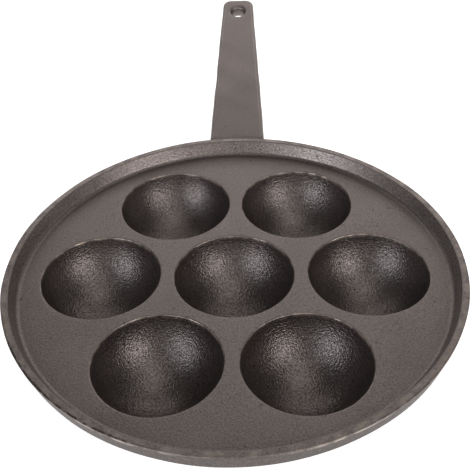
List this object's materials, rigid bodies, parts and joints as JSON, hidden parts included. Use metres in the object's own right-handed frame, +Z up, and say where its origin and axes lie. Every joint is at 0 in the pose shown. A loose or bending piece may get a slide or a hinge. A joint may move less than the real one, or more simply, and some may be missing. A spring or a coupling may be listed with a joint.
{
  "type": "ebelskiver pan",
  "caption": "Round cast-iron pan with deep round-bottomed wells sunk in a flat plate, a low raised rim and a long flat handle with a hanging hole, for cooking batter into balls on a stove.",
  "frame": {"origin": "middle of the ground flat under the middle well, on the surface that the pan stands on", "axes": "+Z up out of the wells, +Y along the handle towards its tip, +X to the right when the handle points away"},
  "size_m": [0.2306, 0.3678, 0.068],
  "materials": {
    "seasoned_iron": "seasoned, satin with a fine sand grain",
    "handle_iron": "seasoned, smooth and duller"
  },
  "bodies": {
    "root": {"pan": "seasoned_iron", "handle": "handle_iron"}
  },
  "joints": []
}
